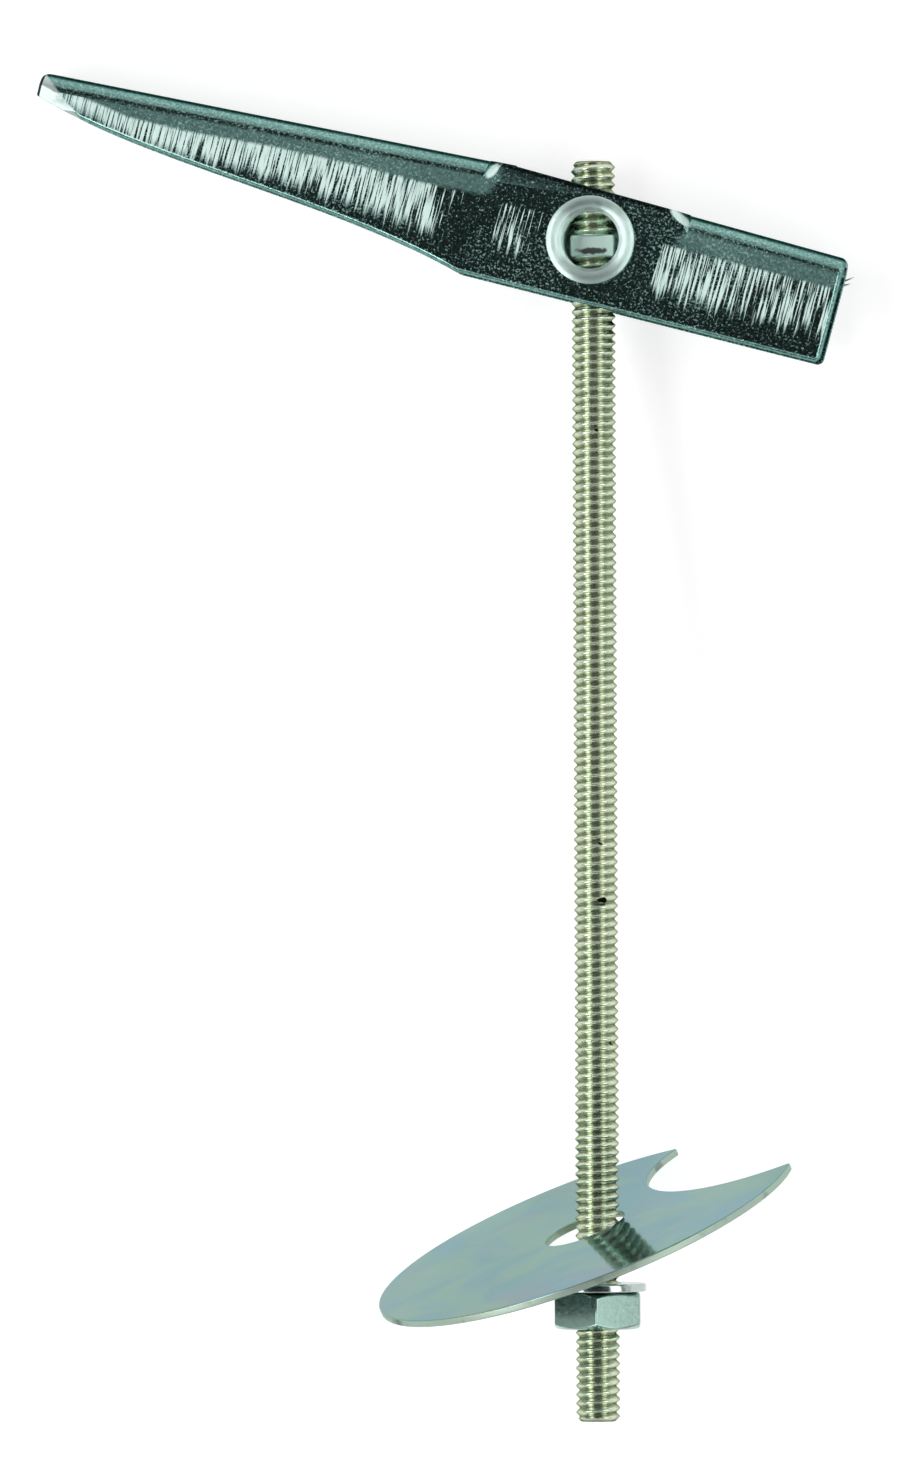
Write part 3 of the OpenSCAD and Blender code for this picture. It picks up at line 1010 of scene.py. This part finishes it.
@dataclass
class ThreadedRod:
    """The rod: a rolled quarter inch by twenty thread, squashed flat inside the rivet.

    Its sizes are in millimetres, on the bolt's axes.
    """

    axes: Axes
    thread_d: float = 6.35
    pitch: float = 1.27
    root_r: float = 2.66
    stub: float = 11.6
    foot: float = -170.2
    chamfer: float = 0.7
    stake_low: float = -2.25
    stake_high: float = 0.95
    stake_thick: float = 4.35
    stake_round: float = 0.35
    stake_steps: int = 3
    sink: float = 0.1
    weld: float = 0.001
    steps: int = 40
    crisp_deg: float = 60.0
    # From a root to a crest: the share of the pitch and the share of the depth.
    flank_shares: Points = ((0.0, 0.0), (0.06, 0.06), (0.19, 0.37), (0.32, 0.7), (0.42, 0.93), (0.5, 1.0))

    def thread(self, low: float, high: float) -> BMesh:
        """A closed stretch of thread between two heights.

        Args:
            low: its lower end.
            high: its upper end.

        Returns:
            The stretch, in the bolt's millimetres.
        """
        crest_r = self.thread_d / 2
        depth = crest_r - self.root_r
        flank = [(share, self.root_r + rise * depth) for share, rise in self.flank_shares]
        shape = flank + [(1.0 - share, r) for share, r in flank[-2::-1]]
        bm = bmesh.new()
        turns = math.ceil((high - low) / self.pitch) + 2
        start = math.floor(low / self.pitch - 1) * self.pitch
        line = [bm.verts.new((r, 0.0, start + share * self.pitch)) for share, r in shape]
        for a, b in zip(line, line[1:]):
            bm.edges.new((a, b))
        bmesh.ops.spin(
            bm,
            geom=bm.verts[:] + bm.edges[:],
            cent=(0.0, 0.0, 0.0),
            axis=(0.0, 0.0, 1.0),
            dvec=(0.0, 0.0, self.pitch / self.steps),
            angle=math.tau,
            steps=self.steps,
        )
        made = 1
        while made < turns:
            more = bmesh.ops.duplicate(bm, geom=bm.verts[:] + bm.edges[:] + bm.faces[:])
            lifted = [v for v in more["geom"] if isinstance(v, BMVert)]
            bmesh.ops.translate(bm, verts=lifted, vec=(0.0, 0.0, made * self.pitch))
            made *= 2
        bmesh.ops.remove_doubles(bm, verts=bm.verts[:], dist=self.weld)
        for height, outward in ((low, -1.0), (high, 1.0)):
            cut = bmesh.ops.bisect_plane(
                bm,
                geom=bm.verts[:] + bm.edges[:] + bm.faces[:],
                plane_co=(0.0, 0.0, height),
                plane_no=(0.0, 0.0, outward),
                clear_outer=True,
            )
            rim = [e for e in cut["geom_cut"] if isinstance(e, BMEdge)]
            bmesh.ops.triangle_fill(bm, edges=rim, use_beauty=True)
        bmesh.ops.recalc_face_normals(bm, faces=bm.faces[:])
        return bm

    def chamfered(self, bm: BMesh, end: float) -> None:
        """Keeps a stretch of thread inside the cone at the rod's end.

        Args:
            bm: the stretch.
            end: the height of that end.
        """
        face_r = self.thread_d / 2 - self.chamfer
        for vert in bm.verts:
            most = face_r + abs(vert.co.z - end)
            reach = vert.co.xy.length
            if reach > most:
                vert.co.xy *= most / reach

    def stake(self) -> BMesh:
        """The flat block that holds the rod in the rivet.

        Returns:
            The block, in the bolt's millimetres.
        """
        bm = bmesh.new()
        tall = self.stake_high - self.stake_low
        middle = (self.stake_high + self.stake_low) / 2
        size = Matrix.Diagonal((self.thread_d, self.stake_thick, tall, 1.0))
        bmesh.ops.create_cube(bm, size=1.0, matrix=Matrix.Translation((0.0, 0.0, middle)) @ size)
        bmesh.ops.bevel(
            bm,
            geom=bm.edges[:],
            offset=self.stake_round,
            affect="EDGES",
            segments=self.stake_steps,
            profile=0.5,
            material=-1,
        )
        return bm

    def build(self) -> None:
        """Builds and dresses the rod."""
        below = self.thread(self.foot, self.stake_low + self.sink)
        self.chamfered(below, self.foot)
        above = self.thread(self.stake_high - self.sink, self.stub)
        self.chamfered(above, self.stub)
        whole = bmesh.new()
        for stretch in (below, self.stake(), above):
            scratch = bpy.data.meshes.new("stretch")
            stretch.to_mesh(scratch)
            stretch.free()
            whole.from_mesh(scratch)
            bpy.data.meshes.remove(scratch)
        bmesh.ops.transform(whole, matrix=self.axes.to_frame(), verts=whole.verts[:])
        # Zinc plate with a thin warm passivate on a rolled thread: a pale straw metal, with each flank a bright
        # line, painted shade in each root, and a painted shadow at the foot of the squashed block.
        finish = RolledThreadZinc(
            "rolled_thread_zinc", self.axes, tone="#dce7cf", dark_tone="#c9d4bc", roughness=0.28
        )
        piece = shown(whole, "rod_thread", finish, sharp_deg=self.crisp_deg)
        carried(piece, Body.ROD, Slot.ROD, "threaded_rod")


@dataclass
class ToggleWing:
    """The wing: folded sheet with its edges eased by the press, and a torn burr on one end.

    Its sizes are in millimetres, on the wing's axes.
    """

    axes: Axes
    rollover: float = 0.85
    rollover_steps: int = 4
    burr_side_round: float = 0.14
    burr_side_steps: int = 2
    edge_deg: float = 25.0
    middle_z: float = -4.0
    least_outward: float = -0.45
    wall_y: float = 5.095
    cheek_x: tuple[float, float] = (-17.9, 13.8)
    cheek_low: float = 3.6
    cheek_snap: float = 0.08
    shoulder_deep: float = 2.4
    shoulder_tip: float = 0.03
    shoulder_sides: int = 48
    # Each shoulder's top and foot, in X and Z, and the slope of the back above it.
    shoulders: tuple[tuple[tuple[float, float], tuple[float, float], float], ...] = (
        ((-14.7, 7.57), (-17.7, 4.0), 0.0594),
        ((10.6, 7.19), (13.6, 4.0), -0.0148),
    )
    bend_z: float = 3.3
    hole_r: float = 6.0
    coined_x: float = -77.5
    end_x: float = 36.0
    burr_r: float = 0.2
    burr_tip_r: float = 0.03
    burr_sides: int = 7
    # Each sliver's root and tip.
    burrs: tuple[tuple[tuple[float, float, float], tuple[float, float, float]], ...] = (
        ((36.1, 4.5, 3.8), (37.5, 4.6, 4.85)),
        ((36.2, 4.4, 3.2), (37.25, 4.4, 3.8)),
    )

    def build(self) -> None:
        """Builds and dresses the wing."""
        bm = welded_copy("toggle_wing")
        self.flatten_cheeks(bm)
        ease_edges(bm, self.rollover, self.rollover_steps, self.edge_deg, self.is_rolled)
        ease_edges(bm, self.burr_side_round, self.burr_side_steps, self.edge_deg)
        self.add_shoulders(bm)
        # Bright zinc over pressed sheet steel: almost black where it mirrors the dark room, with a pimpled peel,
        # white where the press scuffed it, painted highlights on the shoulders and the tip's corner, and painted
        # shade along the bends and on the tip's end.
        finish = PressedWingZinc(
            "pressed_wing_zinc",
            self.axes,
            tone="#86b0aa",
            dark_tone="#587d78",
            roughness=0.13,
            grain_mm=0.45,
            grain_depth_mm=0.025,
        )
        carried(shown(bm, "wing_sheet", finish), Body.WING, Slot.WING, "toggle_wing")
        # A sliver torn off the same plated sheet: uneven, and half bright.
        torn = Finish("torn_burr_zinc", self.axes, tone="#c3cfcc", dark_tone="#8b9896", roughness=0.35)
        carried(shown(self.burr(), "wing_burr", torn), Body.WING, Slot.WING)

    def flatten_cheeks(self, bm: BMesh) -> None:
        """Brings the cheeks beside the slot flush with the walls below them.

        Args:
            bm: the wing's skin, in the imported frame.
        """
        to_frame = self.axes.to_frame()
        back = to_frame.inverted()
        for vert in bm.verts:
            local = back @ vert.co
            near = self.wall_y - self.cheek_snap < abs(local.y)
            if near and self.cheek_x[0] < local.x < self.cheek_x[1] and local.z > self.cheek_low:
                local.y = math.copysign(self.wall_y, local.y)
                vert.co = to_frame @ local

    def add_shoulders(self, bm: BMesh) -> None:
        """Adds the tapered shoulders in which each bend runs out beside the slot.

        Args:
            bm: the wing's skin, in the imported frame.
        """
        for top, foot, slope in self.shoulders:
            run = Vector((top[0] - foot[0], top[1] - foot[1])).length
            taper = math.atan2(self.shoulder_deep - self.shoulder_tip, run)
            for side in (-1.0, 1.0):
                low = Vector((foot[0], side * (self.wall_y - self.shoulder_tip), foot[1]))
                high = Vector((top[0], side * (self.wall_y - self.shoulder_deep), top[1]))
                lean = (high - low).to_track_quat("Z", "Y").to_matrix().to_4x4()
                made = bmesh.ops.create_cone(
                    bm,
                    cap_ends=True,
                    segments=self.shoulder_sides,
                    radius1=self.shoulder_tip / math.cos(taper),
                    radius2=self.shoulder_deep / math.cos(taper),
                    depth=(high - low).length,
                    matrix=self.axes.to_frame() @ Matrix.Translation((high + low) / 2) @ lean,
                )["verts"]
                edges = {e for v in made for e in v.link_edges}
                faces = {f for v in made for f in v.link_faces}
                cut = bmesh.ops.bisect_plane(
                    bm,
                    geom=[*made, *edges, *faces],
                    plane_co=self.axes.place(top[0], 0.0, top[1]),
                    plane_no=self.axes.turn() @ Vector((-slope, 0.0, 1.0)),
                    clear_outer=True,
                )
                rim = [e for e in cut["geom_cut"] if isinstance(e, BMEdge)]
                bmesh.ops.triangle_fill(bm, edges=rim, use_beauty=True)

    def is_rolled(self, edge: BMEdge) -> bool:
        """Tells whether the shears rolled an edge over: one outside, away from the tip and the holes.

        Args:
            edge: an edge of the wing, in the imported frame.

        Returns:
            Whether the edge is rolled over.
        """
        local = self.axes.to_frame().inverted() @ ((edge.verts[0].co + edge.verts[1].co) / 2)
        on_wall = local.z < self.bend_z and local.xz.length > self.hole_r and local.x > self.coined_x
        outward = self.axes.turn() @ Vector((0.0, local.y, local.z - self.middle_z)).normalized()
        outside = all(face.normal.dot(outward) > self.least_outward for face in edge.link_faces)
        return outside and (on_wall or local.x > self.end_x)

    def burr(self) -> BMesh:
        """Two slivers that the shears left on the far wall's end.

        Returns:
            The slivers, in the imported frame.
        """
        bm = bmesh.new()
        for root, tip in self.burrs:
            run = Vector(tip) - Vector(root)
            lean = run.to_track_quat("Z", "Y").to_matrix().to_4x4()
            middle = Matrix.Translation((Vector(tip) + Vector(root)) / 2)
            bmesh.ops.create_cone(
                bm,
                cap_ends=True,
                segments=self.burr_sides,
                radius1=self.burr_r,
                radius2=self.burr_tip_r,
                depth=run.length,
                matrix=middle @ lean,
            )
        bmesh.ops.transform(bm, matrix=self.axes.to_frame(), verts=bm.verts[:])
        return bm


@dataclass
class HollowRivet:
    """The hollow rivet that the wing swings on."""

    axes: Axes

    def build(self) -> None:
        """Builds and dresses the rivet."""
        bm = welded_copy("trunnion")
        # Zinc over a tube whose flange a spinning tool rolled: satin white, with a shine that sweeps
        # round it.
        finish = TurnedRivetZinc(
            "turned_rivet_zinc",
            self.axes,
            tone="#e2faf3",
            dark_tone="#d8f0e9",
            roughness=0.42,
            grain_mm=1.2,
        )
        carried(shown(bm, "rivet_tube", finish), Body.ROD, Slot.RIVET, "trunnion")


@dataclass
class CoverPlate:
    """The cover plate, stamped from thin sheet."""

    axes: Axes
    edge_round: float = 0.2
    edge_steps: int = 2
    edge_deg: float = 40.0

    def build(self) -> None:
        """Builds and dresses the plate."""
        bm = welded_copy("cover_plate")
        ease_edges(bm, self.edge_round, self.edge_steps, self.edge_deg)
        # Blue passivated zinc on cold rolled sheet: a clear bluish mirror with faint rainbow clouds, and a
        # dull sheared rim.
        finish = PassivatedPlateZinc(
            "passivated_plate_zinc",
            self.axes,
            tone="#75999b",
            dark_tone="#6d9295",
            roughness=0.08,
            grain_mm=5.0,
            grain_depth_mm=0.01,
        )
        carried(shown(bm, "plate_sheet", finish), Body.PLATE, Slot.PLATE, "cover_plate")


@dataclass
class FlatWasher:
    """The small washer between the plate and the nut."""

    axes: Axes
    edge_round: float = 0.22
    edge_steps: int = 3
    edge_deg: float = 40.0

    def build(self) -> None:
        """Builds and dresses the washer."""
        bm = welded_copy("flat_washer")
        ease_edges(bm, self.edge_round, self.edge_steps, self.edge_deg)
        # Bright barrel plated zinc: a near mirror, with a grain that only breaks up its edges.
        finish = Finish(
            "bright_washer_zinc", self.axes, tone="#c0cec8", dark_tone="#a9b8b2", roughness=0.18
        )
        carried(shown(bm, "washer_ring", finish), Body.WASHER, Slot.WASHER, "flat_washer")


@dataclass
class HexNut:
    """The hexagon nut."""

    axes: Axes
    edge_round: float = 0.15
    edge_steps: int = 3
    edge_deg: float = 18.0
    crisp_deg: float = 12.0

    def build(self) -> None:
        """Builds and dresses the nut."""
        bm = welded_copy("hex_nut")
        ease_edges(bm, self.edge_round, self.edge_steps, self.edge_deg)
        # Zinc plate on a cold forged nut: smooth flats, each an even grey that mirrors its side of the room.
        finish = Finish(
            "plated_nut_zinc",
            self.axes,
            tone="#98b4ab",
            dark_tone="#8faba2",
            roughness=0.16,
            grain_depth_mm=0.002,
        )
        carried(shown(bm, "nut_body", finish, sharp_deg=self.crisp_deg), Body.NUT, Slot.NUT, "hex_nut")


@dataclass(frozen=True)
class SoftBox:
    """A soft box that faces the object, with its place and its size in metres."""

    name: str
    place: tuple[float, float, float]
    wide: float
    tall: float
    # How bright its face is, where white paper in full light is 1.
    glow: float

    def build(self) -> None:
        """Makes the lamp, which lights the object and isn't seen itself."""
        lamp = bpy.data.lights.new(self.name, "AREA")
        lamp.shape = "RECTANGLE"
        lamp.size = self.wide
        lamp.size_y = self.tall
        lamp.energy = self.glow * math.pi * self.wide * self.tall
        box = bpy.data.objects.new(self.name, lamp)
        box.location = self.place
        box.rotation_euler = (-Vector(self.place)).to_track_quat("-Z", "Y").to_euler()
        box.visible_camera = False
        bpy.context.scene.collection.objects.link(box)


@dataclass
class Studio:
    """A white floor, a room with pale walls that is dark overhead, and soft boxes on all sides."""

    floor_half: float = 9.0
    floor_tone: str = "#b4b4b4"
    floor_rough: float = 0.9
    floor_glow: float = 0.7
    white: str = "#ffffff"
    room_bright: float = 0.75
    room_dark: float = 0.035
    # The rise above the horizon, as a sine, over which the bright walls turn to the dark ceiling.
    room_edge: tuple[float, float] = (0.26, 0.36)
    lamps: tuple[SoftBox, ...] = (
        SoftBox("left_box", (-0.7, 0.0, 0.88), 1.7, 0.42, 4.4),
        SoftBox("left_fill", (-0.98, 0.0, 0.6), 1.7, 0.3, 0.45),
        SoftBox("right_box", (0.87, 0.0, 0.73), 1.7, 0.5, 2.5),
        SoftBox("top_panel", (0.0, 0.74, 0.85), 1.4, 0.66, 0.42),
        SoftBox("bottom_panel", (0.0, -0.78, 0.82), 1.4, 0.6, 0.8),
    )

    def build(self) -> None:
        """Builds the floor, the world and the lamps."""
        self.floor()
        self.room()
        for lamp in self.lamps:
            lamp.build()

    def floor(self) -> None:
        """A wide white floor that shows the object's soft shadow."""
        bm = bmesh.new()
        bmesh.ops.create_grid(bm, x_segments=1, y_segments=1, size=self.floor_half)
        mesh = bpy.data.meshes.new("floor")
        bm.to_mesh(mesh)
        bm.free()
        # White seamless paper: matt, with no shine of its own. A glow that only the camera and reflections
        # see lifts it to pure white.
        material = bpy.data.materials.new("white_paper_floor")
        material.use_nodes = True
        tree = material.node_tree
        paper = tree.nodes["Principled BSDF"]
        paper.inputs["Base Color"].default_value = linear(self.floor_tone)
        paper.inputs["Roughness"].default_value = self.floor_rough
        paper.inputs["Specular IOR Level"].default_value = 0.0
        paper.inputs["Emission Color"].default_value = linear(self.white)
        path = add_node(tree, "LightPath")
        seen = path.outputs["Is Camera Ray"]
        for ray in ("Is Glossy Ray", "Is Transmission Ray"):
            seen = add_node(tree, "Math", {0: seen, 1: path.outputs[ray]}, operation="MAXIMUM").outputs[0]
        glow = add_node(tree, "Math", {0: seen, 1: self.floor_glow}, operation="MULTIPLY")
        tree.links.new(glow.outputs[0], paper.inputs["Emission Strength"])
        mesh.materials.append(material)
        floor = bpy.data.objects.new("floor", mesh)
        bpy.context.scene.collection.objects.link(floor)

    def room(self) -> None:
        """A room with pale walls that is dark overhead."""
        world = bpy.data.worlds.new("studio_room")
        world.use_nodes = True
        tree = world.node_tree
        coords = add_node(tree, "TexCoord")
        split = add_node(tree, "SeparateXYZ", {0: coords.outputs["Generated"]})
        level = add_node(
            tree,
            "MapRange",
            {
                "Value": split.outputs["Z"],
                "From Min": self.room_edge[0],
                "From Max": self.room_edge[1],
                "To Min": self.room_bright,
                "To Max": self.room_dark,
            },
            interpolation_type="SMOOTHSTEP",
        )
        tree.links.new(level.outputs[0], tree.nodes["Background"].inputs["Strength"])
        tree.nodes["Background"].inputs["Color"].default_value = linear(self.white)
        bpy.context.scene.world = world


@dataclass
class PhotoCamera:
    """The camera, looking down on the lying bolt from where the photograph was taken.

    Its place is in millimetres, and its place and directions are on the bolt's axes.
    """

    axes: Axes
    place: tuple[float, float, float] = (125.895, -1493.342, -97.434)
    right: tuple[float, float, float] = (0.995233, 0.097446, -0.003903)
    up: tuple[float, float, float] = (0.005617, -0.017312, 0.999834)
    focal_px: float = 10380.0
    sensor: float = 36.0
    clip: tuple[float, float] = (0.1, 50.0)

    def build(self) -> None:
        """Makes the camera and gives it to the scene."""
        data = bpy.data.cameras.new("photo_camera")
        data.sensor_fit = "AUTO"
        data.sensor_width = self.sensor
        data.lens = self.focal_px * self.sensor / PHOTO_TALL
        data.clip_start, data.clip_end = self.clip
        camera = bpy.data.objects.new("photo_camera", data)
        turn = self.axes.turn()
        right = (turn @ Vector(self.right)).normalized()
        up = (turn @ Vector(self.up)).normalized()
        facing = Matrix((right, up, right.cross(up))).transposed()
        camera.matrix_world = Matrix.Translation(self.axes.place(*self.place)) @ facing.to_4x4()
        bpy.context.scene.collection.objects.link(camera)
        bpy.context.scene.camera = camera


def main() -> None:
    """Builds the camera, the pieces and the studio in order."""
    logging.basicConfig(level=logging.INFO, format="%(name)s: %(message)s")
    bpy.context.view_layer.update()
    bolt = Axes.of_bolt()
    PhotoCamera(bolt).build()
    ThreadedRod(bolt).build()
    HollowRivet(bolt).build()
    ToggleWing(Axes.of_wing()).build()
    CoverPlate(Axes.of_plate()).build()
    FlatWasher(bolt).build()
    HexNut(bolt).build()
    Studio().build()
    bpy.context.scene.view_settings.view_transform = "Standard"


if __name__ == "__main__":
    main()
